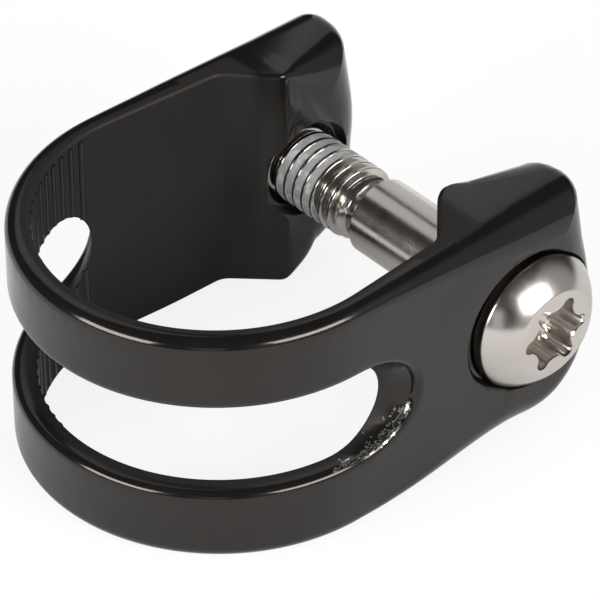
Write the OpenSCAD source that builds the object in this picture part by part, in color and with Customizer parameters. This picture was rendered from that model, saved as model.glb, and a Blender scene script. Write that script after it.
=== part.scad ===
// Brake lever clamp for a bicycle handlebar: a one-piece open band with two ears
// and a button-head bolt that draws the ears together.
// Origin: centre of the handlebar bore, half way along the band's width.
// Z runs along the handlebar, +X from the bar towards the bolt, Y along the bolt.
// The bolt's head is on the -Y ear and its thread is in the +Y ear.

/* [Handlebar bore] */
// Diameter of the handlebar that the band grips
bar_d = 22.2; // [21:0.1:26]
// Width of the band along the handlebar
band_w = 16.2; // [14:0.1:20]
// Wall of the band round the back of the bar
wall_t = 1.5; // [1.3:0.1:2.5]
// Rounding of the band's outer edges
band_edge_r = 0.8; // [0.4:0.05:0.9]
// Rounding of the bore's edges
bore_edge_r = 0.3; // [0.1:0.05:0.35]
// Angle by which each arm's inner wall closes in towards its ear
arm_in_deg = 4.5; // [3:0.1:6]
// Angle by which each arm's outer wall opens towards its ear
arm_out_deg = 1.3; // [0.5:0.1:2.5]

/* [Grip ribs] */
// Distance from one groove to the next along the bore's wall
rib_pitch = 0.94; // [0.8:0.02:1.4]
// Width of each groove at the bore's wall
groove_w = 0.5; // [0.3:0.02:0.6]
// Depth of each groove
groove_d = 0.12; // [0.08:0.01:0.3]
// Where the ribs start on the thread's side, as an angle from the X axis
rib_from_deg = 96.5; // [92:0.5:140]
// Where the ribs end round the back of the bore
rib_to_deg = 172; // [145:0.5:230]

/* [Window slot] */
// Height of the slot that splits the band into two strips
slot_h = 6.3; // [5:0.1:8]
// How far past the bore's centre the slot's end reaches on the bolt head's side
slot_near_x = 2.7; // [0:0.1:3.4]
// How far past the bore's centre the slot's end reaches on the thread's side
slot_far_x = -0.75; // [-3:0.05:1]
// Slant of the slot's end wall on the bolt head's side, from the X axis
slot_near_deg = 47; // [40:1:80]
// Slant of the slot's end wall on the thread's side, from the X axis
slot_far_deg = 63; // [45:1:85]
// Rounding of the slot's outer edges round the back of the band
slot_edge_r = 0.5; // [0.2:0.05:0.7]

/* [Ears] */
// Distance from the band's mid-plane to each ear's outer face
ear_out_y = 12.9; // [12.5:0.05:14]
// Distance from the mid-plane to the pad face on the bolt head's side
near_pad_y = 6.95; // [6:0.05:8]
// Distance from the mid-plane to the pad face on the thread's side
far_pad_y = 7.5; // [6.5:0.05:8.5]
// Slant of the shoulder that leads from the arm to the pad face
ramp_deg = 47; // [40:1:50]
// How far the pad face starts before the bolt's axis on the bolt head's side
near_lead = 2.6; // [1:0.1:2.9]
// How far the pad face starts before the bolt's axis on the thread's side
far_lead = 2.1; // [1:0.1:2.6]
// Rounding between the shoulder and the pad face
ramp_head_r = 1.2; // [0.4:0.1:2.5]
// How far each ear reaches past the bolt's axis
ear_past = 5.3; // [4:0.1:6]
// Rounding of each ear's upper end corner, seen along the bolt
ear_top_r = 2; // [1.8:0.1:5]
// Rounding of each ear's lower end corner, seen along the bolt
ear_foot_r = 5.4; // [1.8:0.1:7]
// How far the middle of each ear's end bulges past its corners
ear_bulge = 0.8; // [0.2:0.1:1.5]
// Height of the point where each ear reaches furthest
ear_bulge_z = 2; // [0:0.1:3]
// Rounding of each ear's outer edges
ear_edge_r = 1.7; // [1:0.1:1.9]
// Rounding of each pad's edge at the shoulder
pad_edge_r = 0.3; // [0.2:0.05:0.6]
// Rounding that the pad's edge grows to at the ear's end
pad_end_r = 1.9; // [0.8:0.1:3.4]
// Radius of the shallow spot-face round the tapped hole
spot_r = 4; // [3.2:0.1:5]
// Depth of the spot-face
spot_d = 0.8; // [0.3:0.05:1.4]

/* [Bolt] */
// Diameter of the plain shank
shank_d = 5; // [4.5:0.1:5.5]
// Gap between the handlebar and the shank
bar_clear = 0.2; // [0.1:0.05:0.6]
// Radial gap between the shank and its hole
shank_gap = 0.08; // [0.03:0.01:0.1]
// Length from under the head to the end of the plain shank
shank_l = 12.6; // [9:0.1:14]
// Length from under the head to the bolt's tip
bolt_l = 23.7; // [20:0.1:24.2]
// Nominal diameter of the thread
thread_d = 5; // [4:0.1:5]
// Distance from one thread crest to the next
thread_pitch = 0.8; // [0.7:0.05:1]
// Radial gap between the thread's crests and the tapped hole
thread_gap = 0.05; // [0.02:0.01:0.08]
// Diameter of the button head
head_d = 9; // [8:0.1:9.4]
// Height of the button head
head_h = 3.3; // [2.4:0.05:3.6]
// Height of the straight rim at the foot of the head
head_rim_h = 0.9; // [0.4:0.05:1.2]
// Diameter of the flat ring round the socket
head_face_d = 5.7; // [5:0.05:6.2]
// Depth of the recess that the head sits in
seat_d = 1.75; // [0.8:0.05:2.2]
// Radial gap between the head and the wall of its recess
seat_gap = 0.3; // [0.2:0.05:0.8]
// Gap between the head and the floor of its recess
bearing_gap = 0.02; // [0.01:0.01:0.05]

/* [Socket] */
// Distance across the socket's lobes
socket_a = 4.6; // [3.8:0.05:4.8]
// Distance across the socket between its lobes
socket_b = 3.3; // [2.8:0.05:3.4]
// Depth of the socket
socket_depth = 2.2; // [1:0.05:2.5]

/* [Thread coating] */
// Thickness of the coating over the thread's crests
coat_t = 0.3; // [0.15:0.01:0.4]
// Length of the coated stretch
coat_l = 3.4; // [2:0.1:4.5]
// Gap between the coating and the far ear when the bolt is home
coat_gap = 0.3; // [0.2:0.05:0.6]

/* [Hidden] */

// Facets of full circles, and of the small roundings inside a hull
$fn = 96;
HULL_FN = 28;
// Overlap of joined pieces and overshoot of cutters
EPS = 0.01;
OVER = 1;
// How far inside the band's back each arm starts
ARM_INSET = 0.04;

bar_r = bar_d / 2;
band_r = bar_r + wall_t;
half_w = band_w / 2;

// Bolt and ear stations, from the bore's centre
shank_r = shank_d / 2;
bolt_x = bar_r + bar_clear + shank_r;
ear_end_x = bolt_x + ear_past;
seat_y = ear_out_y - seat_d;
thread_r = thread_d / 2;
crest_r = thread_r - thread_gap;
coat_r = crest_r + coat_t;

// Lines of the arm's walls: tangents to the bore and to the outside of the band
arm_in_x = bar_r * sin(arm_in_deg);
arm_out_x = -band_r * sin(arm_out_deg);
function inner_y(x) = (bar_r - x * sin(arm_in_deg)) / cos(arm_in_deg);
function outer_y(x) = (band_r + x * sin(arm_out_deg)) / cos(arm_out_deg);

// Where the shoulder to a pad that starts at (pad_x, pad_y) leaves the arm's inner wall
function ramp_x(pad_x, pad_y) = (pad_y + pad_x * tan(ramp_deg) - bar_r / cos(arm_in_deg))
    / (tan(ramp_deg) - tan(arm_in_deg));
// How much of the shoulder and of the pad face the rounding between them takes
ramp_head_l = ramp_head_r * tan(ramp_deg / 2);

// Where the ear's corners end, and the radius of the bulge between them
corner_end_x = ear_end_x - ear_bulge;
bulge_r = (ear_top_r + ear_foot_r) / 2;

// Edge rounding grows along the arm from the band's to the ear's
function edge_r(x) = band_edge_r
    + (ear_edge_r - band_edge_r) * min(1, max(0, (x - arm_out_x) / (bar_r - arm_out_x)));

// Square corner outside a quarter circle: removes an edge and leaves a rounding
module corner_waste(r) {
    difference() {
        translate([-OVER, -OVER]) square(r + OVER);
        translate([r, r]) circle(r);
    }
}

// Wall section from y0 to y1 and over the band's width, rounded by r_in and r_out
module wall_section(y0, y1, r_in, r_out) {
    difference() {
        translate([y0, -half_w]) square([y1 - y0, band_w]);
        for (side = [0, 1]) mirror([0, side]) {
            translate([y0, -half_w]) corner_waste(r_in);
            translate([y1, -half_w]) mirror([1, 0]) corner_waste(r_out);
        }
    }
}

// The same section as a slice of length l that starts at x
module wall_slice(x, l, y0, y1, r_in, r_out) {
    translate([x, 0, 0]) rotate([90, 0, 90])
        linear_extrude(l) wall_section(y0, y1, r_in, r_out);
}

// Back of the band, round the bar
module band_back() {
    back_deg = 180 + 2 * arm_out_deg;
    rotate([0, 0, 90 - arm_out_deg / 2])
        rotate_extrude(angle = back_deg - arm_out_deg)
            wall_section(bar_r, band_r, bore_edge_r, band_edge_r);
}

// Arm on the +Y side: from the band's tangent to the shoulder, then out to the pad
module arm(pad_x, pad_y) {
    foot_x = ramp_x(pad_x, pad_y);
    hull() {
        wall_slice(arm_out_x, EPS, bar_r + ARM_INSET, outer_y(arm_out_x) - ARM_INSET,
            bore_edge_r, band_edge_r, $fn = HULL_FN);
        wall_slice(foot_x, EPS, inner_y(foot_x), outer_y(foot_x),
            bore_edge_r, edge_r(foot_x), $fn = HULL_FN);
    }
    hull() {
        wall_slice(foot_x, EPS, inner_y(foot_x), outer_y(foot_x),
            bore_edge_r, edge_r(foot_x), $fn = HULL_FN);
        wall_slice(pad_x - ramp_head_l * cos(ramp_deg), EPS, pad_y + ramp_head_l * sin(ramp_deg),
            ear_out_y, pad_edge_r, ear_edge_r, $fn = HULL_FN);
        wall_slice(pad_x + ramp_head_l, 2 * EPS, pad_y, ear_out_y,
            pad_edge_r, ear_edge_r, $fn = HULL_FN);
    }
}

// Rounded end of an ear: a half disc of radius r that reaches x_end, with rounded rims
module ear_disc(x_end, z, r, pad_y) {
    translate([x_end - r, 0, z]) rotate([90, 0, 0]) rotate([0, 0, -90]) rotate_extrude(angle = 180)
        difference() {
            translate([0, -ear_out_y]) square([r, ear_out_y - pad_y]);
            translate([r, -ear_out_y]) mirror([1, 0]) corner_waste(ear_edge_r);
            translate([r, -pad_y]) rotate(180) corner_waste(min(r - EPS, pad_end_r));
        }
}

// Ear on the +Y side: a slab with rounded corners and a bulged end
module ear(pad_x, pad_y) {
    hull() {
        wall_slice(pad_x + ramp_head_l, EPS, pad_y, ear_out_y, pad_edge_r, ear_edge_r, $fn = HULL_FN);
        ear_disc(corner_end_x, half_w - ear_top_r, ear_top_r, pad_y, $fn = HULL_FN);
        ear_disc(corner_end_x, ear_foot_r - half_w, ear_foot_r, pad_y, $fn = HULL_FN);
        ear_disc(ear_end_x, ear_bulge_z, bulge_r, pad_y, $fn = HULL_FN);
    }
}

// One end of the slot: a round-ended cut along a slanted line from (x, y)
module slot_end(x, y, deg, side) {
    r = slot_h / 2;
    translate([x, y, 0]) rotate([0, 0, deg]) translate([-bar_r / 2, side * r, 0])
        rotate([0, 90, 0]) cylinder(r = r, h = bar_r);
}

// Point beside a slot end, at distance s along its slant and one slot radius in
function slot_point(x, y, deg, side, s) = [
    x + s * cos(deg) - side * slot_h / 2 * sin(deg),
    y + s * sin(deg) + side * slot_h / 2 * cos(deg)
];

// The slot round the back of the band, with its two ends
module window_slot() {
    reach = band_r + OVER;
    far_y = inner_y(max(0, slot_far_x));
    near_y = -inner_y(max(0, slot_near_x));
    slot_end(slot_far_x, far_y, slot_far_deg, 1);
    slot_end(slot_near_x, near_y, -slot_near_deg, -1);
    linear_extrude(slot_h, center = true) polygon([
        slot_point(slot_far_x, far_y, slot_far_deg, 1, -bar_r / 2),
        slot_point(slot_far_x, far_y, slot_far_deg, 1, bar_r / 2),
        [-reach, reach],
        [-reach, -reach],
        slot_point(slot_near_x, near_y, -slot_near_deg, -1, bar_r / 2),
        slot_point(slot_near_x, near_y, -slot_near_deg, -1, -bar_r / 2)
    ]);
}

// Rounding of the slot's two outer edges round the back of the band
module slot_edges() {
    from_deg = acos((slot_far_x - slot_h / 2 * sin(slot_far_deg)) / band_r);
    to_deg = 270 - 2 * arm_out_deg;
    for (side = [0, 1]) mirror([0, 0, side]) rotate([0, 0, from_deg])
        rotate_extrude(angle = to_deg - from_deg)
            translate([band_r, slot_h / 2]) mirror([1, 0]) corner_waste(slot_edge_r);
}

// Grooves across the bore's wall, which leave the grip ribs between them
module grip_grooves() {
    step = rib_pitch / bar_r * 180 / PI;
    for (deg = [rib_from_deg : step : rib_to_deg])
        rotate([0, 0, deg]) translate([bar_r, 0, 0])
            linear_extrude(band_w + 2 * OVER, center = true)
                polygon([[-OVER, -groove_w / 2], [0, -groove_w / 2], [groove_d, 0],
                    [0, groove_w / 2], [-OVER, groove_w / 2]]);
}

// Round cut along the bolt's axis from y0 to y1
module bolt_cut(r, y0, y1) {
    translate([bolt_x, y0, 0]) rotate([-90, 0, 0]) cylinder(r = r, h = y1 - y0);
}

// Band and ears with the bore, the slot and the bolt's seat, hole and thread cut
module machined_band() {
    difference() {
        union() {
            band_back();
            arm(bolt_x - far_lead, far_pad_y);
            ear(bolt_x - far_lead, far_pad_y);
            mirror([0, 1, 0]) {
                arm(bolt_x - near_lead, near_pad_y);
                ear(bolt_x - near_lead, near_pad_y);
            }
        }
        cylinder(r = bar_r, h = band_w + 2 * OVER, center = true);
        window_slot();
        bolt_cut(shank_r + shank_gap, -ear_out_y - OVER, 0);
        bolt_cut(head_d / 2 + seat_gap, -ear_out_y - OVER, -seat_y);
        bolt_cut(thread_r, 0, ear_out_y + OVER);
        bolt_cut(spot_r, 0, far_pad_y + spot_d);
    }
}

// One-piece clamp: the machined band with its slot's rounded edges and its grip ribs
module clamp_band() {
    color("#1c1a19")
    difference() {
        machined_band();
        slot_edges();
        grip_grooves();
    }
}

// Six-lobe outline of the socket
module six_lobe() {
    lobe_r = (socket_a - socket_b) / 3;
    flute_r = (socket_a - socket_b) * 0.8;
    for (i = [0 : 5]) rotate(60 * i)
        translate([socket_a / 2 - lobe_r, 0]) circle(lobe_r);
    difference() {
        circle(socket_a / 2 - lobe_r);
        for (i = [0 : 5]) rotate(60 * i + 30)
            translate([socket_b / 2 + flute_r, 0]) circle(flute_r);
    }
}

// Button head below z = 0: a straight rim, a dome and a flat ring round the socket
module head() {
    rim_r = head_d / 2;
    face_r = head_face_d / 2;
    dome_c = (rim_r * rim_r + head_rim_h * head_rim_h - face_r * face_r - head_h * head_h)
        / (2 * (head_h - head_rim_h));
    dome_r = sqrt(rim_r * rim_r + pow(head_rim_h + dome_c, 2));
    mirror([0, 0, 1]) difference() {
        intersection() {
            cylinder(r = rim_r, h = head_h);
            translate([0, 0, -dome_c]) sphere(dome_r);
        }
        translate([0, 0, head_h - socket_depth]) linear_extrude(socket_depth + OVER) six_lobe();
    }
}

// Thread as a stack of ridges from z0 to z1, on a core
module thread_ridges(z0, z1) {
    depth = 0.6 * thread_pitch;
    flat = thread_pitch / 8;
    core_r = crest_r - depth;
    turns = floor((z1 - z0) / thread_pitch);
    translate([0, 0, z0]) cylinder(r = core_r, h = z1 - z0);
    rotate_extrude() for (i = [0 : turns - 1])
        translate([0, z0 + i * thread_pitch])
            polygon([[0, flat], [core_r, flat], [crest_r, (thread_pitch - flat) / 2],
                [crest_r, (thread_pitch + flat) / 2], [core_r, thread_pitch - flat],
                [0, thread_pitch - flat]]);
}

// Bolt in one piece: head, plain shank, shoulder, relief and thread
module clamp_bolt() {
    relief_r = crest_r - 0.7 * thread_pitch;
    shoulder = shank_r - relief_r;
    relief_l = thread_pitch;
    color("#b9b4ae")
    translate([bolt_x, -seat_y - bearing_gap, 0]) rotate([-90, 0, 0]) {
        head();
        translate([0, 0, -EPS]) cylinder(r = shank_r, h = shank_l - shoulder / 2 + EPS);
        translate([0, 0, shank_l - shoulder / 2]) cylinder(r1 = shank_r, r2 = relief_r, h = shoulder / 2);
        translate([0, 0, shank_l - EPS]) cylinder(r = relief_r, h = relief_l + EPS);
        thread_ridges(shank_l + relief_l, bolt_l);
    }
}

// Thread-locking coating round the stretch of thread next to the far ear
module thread_coating() {
    end_y = far_pad_y + spot_d - coat_gap;
    color("#b4b5b6")
    difference() {
        bolt_cut(coat_r, end_y - coat_l, end_y);
        bolt_cut(crest_r + EPS, end_y - coat_l - OVER, end_y + OVER);
    }
}

clamp_band();
clamp_bolt();
thread_coating();
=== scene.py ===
"""Looks of a bicycle brake lever clamp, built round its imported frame.

The black band, the stainless bolt and its grey thread-lock coating are modelled
and dressed in the frame of the part's own solids: the origin is the centre of
the handlebar bore, Z runs along the handlebar, X points to the bolt and the
bolt's head is on the -Y ear. Sizes are in millimetres; meshes are in metres.
"""

from __future__ import annotations

import logging
import math
from dataclasses import dataclass, field
from enum import Enum
from typing import Any, Sequence

import bmesh
import bpy
import numpy as np
from bpy.types import Material, Mesh, Node, NodeOutputs, NodeSocket, NodeTree, Object
from mathutils import Matrix, Vector
from mathutils.geometry import delaunay_2d_cdt

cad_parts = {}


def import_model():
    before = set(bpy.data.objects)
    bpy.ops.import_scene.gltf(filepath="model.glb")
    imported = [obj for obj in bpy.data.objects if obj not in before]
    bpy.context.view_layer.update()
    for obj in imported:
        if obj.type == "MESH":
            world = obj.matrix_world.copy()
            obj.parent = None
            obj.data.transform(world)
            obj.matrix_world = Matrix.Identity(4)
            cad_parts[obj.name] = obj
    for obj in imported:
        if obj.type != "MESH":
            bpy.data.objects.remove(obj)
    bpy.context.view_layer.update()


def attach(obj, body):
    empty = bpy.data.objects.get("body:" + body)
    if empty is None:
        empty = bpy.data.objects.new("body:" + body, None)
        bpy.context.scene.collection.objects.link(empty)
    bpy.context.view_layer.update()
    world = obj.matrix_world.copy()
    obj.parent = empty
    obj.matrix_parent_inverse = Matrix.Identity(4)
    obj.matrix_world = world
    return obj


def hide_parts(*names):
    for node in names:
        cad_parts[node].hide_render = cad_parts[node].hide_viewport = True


LOG = logging.getLogger("brake_lever_clamp")
MM = 0.001
TURN = 2.0 * math.pi
QUARTER = math.pi / 2.0
WHITE = (1.0, 1.0, 1.0, 1.0)

Points = np.ndarray
Pair = tuple[float, float]
Color = tuple[float, float, float, float]
FINE_SHARE = 0.4
NOISE_RANGE = (0.3, 0.7)
FLECK_LEVEL = 0.72
FLECK_SPAN = 0.44
SOCKET_KINDS = {float: "NodeSocketFloat", int: "NodeSocketInt", type(None): "NodeSocketGeometry"}


class Side(Enum):
    """Ear that a feature belongs to, as the sign of its Y."""

    NEAR = -1
    FAR = 1


class Body(Enum):
    """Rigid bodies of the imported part."""

    CLAMP = "clamp"
    COATING = "coating"
    BOLT = "bolt"


class Slot(Enum):
    """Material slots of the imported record."""

    BLACK = "black_aluminium"
    STEEL = "stainless_steel"
    THREAD_LOCK = "thread_lock"


def per_side(near: float, far: float) -> Any:
    """Field that holds one size of the near ear and one of the far ear."""
    return field(default_factory=lambda: {Side.NEAR: near, Side.FAR: far})


def by_side(near: Points, sizes: dict[Side, float]) -> Points:
    """Size of the side that each point is on."""
    return np.where(near, sizes[Side.NEAR], sizes[Side.FAR])


def table(*columns: Points | float) -> Points:
    """Columns side by side, with a single number repeated down its column."""
    return np.stack(np.broadcast_arrays(*columns), axis=1)


def smooth_step(x: Points, low: float, high: float) -> Points:
    """Ramp from 0 at low to 1 at high, level at both ends."""
    u = np.clip((x - low) / (high - low), 0.0, 1.0)
    return u * u * (3.0 - 2.0 * u)


def rounded_path(corners: Sequence[Pair], radii: Sequence[float], step: float) -> Points:
    """Polyline through corners, with an arc at each inner corner.

    Args:
        corners: Corner points, first and last included.
        radii: Arc radius of each inner corner.
        step: Longest distance between points on an arc.

    Returns:
        The points as an N by 2 array.
    """
    spots = np.array(corners, float)
    out = [spots[0]]
    for before, here, after, radius in zip(spots, spots[1:], spots[2:], radii):
        back, ahead = ((end - here) / np.linalg.norm(end - here) for end in (before, after))
        half = math.acos(np.clip(back @ ahead, -1.0, 1.0)) / 2.0
        reach = radius / math.tan(half)
        middle = back + ahead
        centre = here + middle / np.linalg.norm(middle) * radius / math.sin(half)
        start = here + back * reach - centre
        sweep = math.pi - 2.0 * half
        turn = np.sign(start[0] * ahead[1] - start[1] * ahead[0])
        count = max(2, math.ceil(radius * sweep / step))
        for k in range(count + 1):
            a = turn * sweep * k / count
            c, s = math.cos(a), math.sin(a)
            out.append(centre + np.array([c * start[0] - s * start[1], s * start[0] + c * start[1]]))
    out.append(spots[-1])
    return np.array(out)


def inside(polygon: Points, points: Points) -> Points:
    """Tell which points lie in a closed polygon.

    Args:
        polygon: Corners as an N by 2 array.
        points: Points as an M by 2 array.

    Returns:
        M truth values.
    """
    a = polygon
    b = np.roll(polygon, -1, axis=0)
    x, y = points[:, 0, None], points[:, 1, None]
    spans = (a[:, 1] > y) != (b[:, 1] > y)
    rise = np.where(b[:, 1] == a[:, 1], 1e-12, b[:, 1] - a[:, 1])
    cross = a[:, 0] + (y - a[:, 1]) / rise * (b[:, 0] - a[:, 0])
    return (np.sum(spans & (x < cross), axis=1) % 2) == 1


class MeshDraft:
    """Vertices and faces gathered in millimetres before they become a mesh."""

    def __init__(self) -> None:
        """Start empty."""
        self.points: list[Points] = []
        self.faces: list[tuple[int, ...]] = []
        self.count = 0

    def add(self, points: Points) -> Points:
        """Add points.

        Args:
            points: An N by 3 array, in millimetres.

        Returns:
            The new vertices' numbers.
        """
        self.points.append(np.asarray(points, float).reshape(-1, 3))
        first = self.count
        self.count += len(self.points[-1])
        return np.arange(first, self.count)

    def strips(self, rows: Sequence[Points]) -> None:
        """Join each loop to the next one with quads.

        Args:
            rows: Vertex numbers of loops of equal length.
        """
        for row, other in zip(rows[:-1], rows[1:]):
            quads = table(row, np.roll(row, -1), np.roll(other, -1), other)
            self.faces += [tuple(quad) for quad in quads.tolist()]

    def cap(self, row: Points, hub: Sequence[float]) -> None:
        """Close a loop with triangles round one new vertex.

        Args:
            row: Vertex numbers of the loop.
            hub: Place of the new vertex.
        """
        number = int(self.add(hub)[0])
        self.faces += [(a, b, number) for a, b in zip(row.tolist(), np.roll(row, -1).tolist())]

    def to_mesh(self, name: str) -> Mesh:
        """Make a closed mesh in metres with outward faces.

        Args:
            name: Name of the mesh.

        Returns:
            The mesh.
        """
        mesh = bpy.data.meshes.new(name)
        mesh.from_pydata((np.vstack(self.points) * MM).tolist(), [], self.faces)
        work = bmesh.new()
        work.from_mesh(mesh)
        bmesh.ops.remove_doubles(work, verts=work.verts, dist=1e-7)
        bmesh.ops.recalc_face_normals(work, faces=work.faces)
        work.to_mesh(mesh)
        work.free()
        return mesh


def stack_rings(name: str, rings: Sequence[Points], heights: Sequence[float], centre: Pair) -> Mesh:
    """Close a solid over rings that are stacked along an axis parallel to Y.

    Args:
        name: Name of the mesh.
        rings: X and Z of each ring's points, from the axis.
        heights: Y of the first tip, of each ring and of the last tip.
        centre: X and Z of the axis.

    Returns:
        The closed mesh.
    """
    draft = MeshDraft()
    rows = [draft.add(table(centre[0] + ring[:, 0], y, centre[1] + ring[:, 1]))
            for ring, y in zip(rings, heights[1:-1])]
    draft.strips(rows)
    for row, y in ((rows[0], heights[0]), (rows[-1], heights[-1])):
        draft.cap(row, (centre[0], y, centre[1]))
    return draft.to_mesh(name)


def lathe(name: str, profile: Points, centre: Pair, around: int = 96) -> Mesh:
    """Turn a closed profile about an axis parallel to Y.

    Args:
        name: Name of the mesh.
        profile: Radius and Y of each point; the first and last lie on the axis.
        centre: X and Z of the axis.
        around: Number of points round the axis.

    Returns:
        The closed mesh.
    """
    angles = np.arange(around) * TURN / around
    circle = table(np.cos(angles), np.sin(angles))
    rings = [radius * circle for radius, _ in profile[1:-1]]
    return stack_rings(name, rings, [y for _, y in profile], centre)


def new_object(mesh: Mesh) -> Object:
    """Put a mesh into the scene at the origin.

    Args:
        mesh: The mesh, whose name the object takes.

    Returns:
        The object.
    """
    made = bpy.data.objects.new(mesh.name, mesh)
    bpy.context.scene.collection.objects.link(made)
    return made


def bake_modifiers(target: Object) -> None:
    """Turn an object's evaluated mesh into its plain mesh and drop its modifiers.

    Args:
        target: The object.
    """
    bpy.context.view_layer.update()
    graph = bpy.context.evaluated_depsgraph_get()
    made = bpy.data.meshes.new_from_object(target.evaluated_get(graph), depsgraph=graph)
    target.modifiers.clear()
    old = target.data
    target.data = made
    name = old.name
    bpy.data.meshes.remove(old)
    made.name = name


def cut(target: Object, cutters: Sequence[Mesh]) -> None:
    """Take closed meshes away from an object's mesh.

    Args:
        target: Object whose mesh is cut.
        cutters: Meshes to take away; they are removed afterwards.
    """
    for mesh in cutters:
        tool = new_object(mesh)
        modifier = target.modifiers.new("cut", "BOOLEAN")
        modifier.operation = "DIFFERENCE"
        modifier.solver = "EXACT"
        modifier.object = tool
        bake_modifiers(target)
        bpy.data.objects.remove(tool)


def join_meshes(target: Object, extra: Object) -> None:
    """Add one object's mesh to another's and remove the first.

    Args:
        target: Object that keeps both meshes.
        extra: Object that is removed.
    """
    work = bmesh.new()
    work.from_mesh(target.data)
    work.from_mesh(extra.data)
    work.to_mesh(target.data)
    work.free()
    bpy.data.objects.remove(extra)


def write_attributes(mesh: Mesh, values: dict[str, Points]) -> None:
    """Write numbers onto a mesh's points.

    Args:
        mesh: The mesh.
        values: One number for each point, under each attribute's name.
    """
    for name, numbers in values.items():
        layer = mesh.attributes.new(name, "FLOAT", "POINT")
        layer.data.foreach_set("value", numbers.astype(np.float32))


def dress(target: Object, material: Material, sharp_deg: float | None = None,
          flat_kept: bool = False) -> None:
    """Give an object its finish and smooth shading.

    Args:
        target: The object.
        material: Its finish.
        sharp_deg: Angle between faces from which an edge is sharp, if any is.
        flat_kept: Whether flat faces are kept flat beside roundings.
    """
    target.data.materials.clear()
    target.data.materials.append(material)
    for polygon in target.data.polygons:
        polygon.use_smooth = True
    if sharp_deg is not None:
        target.data.set_sharp_from_angle(angle=math.radians(sharp_deg))
    if flat_kept:
        modifier = target.modifiers.new("weighted normals", "WEIGHTED_NORMAL")
        modifier.keep_sharp = True
        modifier.weight = 100


def apply_tree(target: Object, tree: NodeTree, values: dict[str, object]) -> None:
    """Run a Geometry Nodes tree on an object and keep its result as a plain mesh.

    Args:
        target: The object.
        tree: The tree.
        values: Value of each named input.
    """
    modifier = target.modifiers.new(tree.name, "NODES")
    modifier.node_group = tree
    names = {item.name: item.identifier for item in tree.interface.items_tree if item.item_type == "SOCKET"}
    for name, value in values.items():
        modifier[names[name]] = value
    bake_modifiers(target)


class NodeBuilder:
    """Adds and joins the nodes of one node tree."""

    def __init__(self, tree: NodeTree) -> None:
        """Keep the tree."""
        self.tree = tree

    @classmethod
    def group(cls, name: str, kind: str, inputs: dict[str, object],
              outputs: dict[str, object]) -> tuple[NodeBuilder, NodeOutputs]:
        """Start a node group with named sockets.

        Args:
            name: Name of the group.
            kind: Type of its tree.
            inputs: Default of each input; None makes a geometry socket.
            outputs: Default of each output.

        Returns:
            The group's builder, and the sockets that carry its inputs.
        """
        build = cls(bpy.data.node_groups.new(name, kind))
        for in_out, sockets in (("INPUT", inputs), ("OUTPUT", outputs)):
            for title, value in sockets.items():
                socket = build.tree.interface.new_socket(
                    name=title, in_out=in_out, socket_type=SOCKET_KINDS[type(value)])
                if value is not None:
                    socket.default_value = value
        return build, build.add("NodeGroupInput").outputs

    def feed(self, node: Node, inputs: dict[Any, object]) -> None:
        """Set or link a node's inputs.

        Args:
            node: The node.
            inputs: Value, or socket to link, for each input's name or number.
        """
        for name, value in inputs.items():
            if isinstance(value, NodeSocket):
                self.tree.links.new(value, node.inputs[name])
            else:
                node.inputs[name].default_value = value

    def add(self, kind: str, inputs: dict[Any, object] | None = None, **values: object) -> Node:
        """Add a node.

        Args:
            kind: Node type.
            inputs: Value, or socket to link, for each input.
            **values: Properties to set on the node.

        Returns:
            The node.
        """
        node = self.tree.nodes.new(kind)
        for name, value in values.items():
            setattr(node, name, value)
        self.feed(node, inputs or {})
        return node

    def math(self, operation: str, *inputs: NodeSocket | float) -> Socket:
        """Result of a math node on numbers or sockets."""
        return self.add("ShaderNodeMath", dict(enumerate(inputs)), operation=operation).outputs[0]

    def mix(self, mask: NodeSocket, low: NodeSocket | Color, high: NodeSocket | Color) -> Socket:
        """Colour between low, where the mask is 0, and high, where it is 1."""
        node = self.add("ShaderNodeMix", {"Factor": mask, "A": low, "B": high}, data_type="RGBA")
        return node.outputs["Result"]

    def ramp(self, value: NodeSocket, low: NodeSocket | float, high: NodeSocket | float) -> Socket:
        """Ramp from 0 at low to 1 at high, level at both ends."""
        span = {"Value": value, "From Min": low, "From Max": high}
        return self.add("ShaderNodeMapRange", span, interpolation_type="SMOOTHSTEP").outputs["Result"]

    def vector(self, x: NodeSocket | float, y: NodeSocket | float, z: NodeSocket | float) -> Socket:
        """Vector made of three numbers or sockets."""
        return self.add("ShaderNodeCombineXYZ", {"X": x, "Y": y, "Z": z}).outputs["Vector"]

    def deliver(self, geometry: NodeSocket, material: Material) -> NodeTree:
        """End a Geometry Nodes tree with real, dressed geometry.

        Args:
            geometry: What the tree has made.
            material: Finish that it takes.

        Returns:
            The tree.
        """
        real = self.add("GeometryNodeRealizeInstances", {"Geometry": geometry}).outputs["Geometry"]
        dressed = self.add("GeometryNodeSetMaterial", {"Geometry": real, "Material": material})
        self.add("NodeGroupOutput", {"Geometry": dressed.outputs["Geometry"]})
        return self.tree


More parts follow.
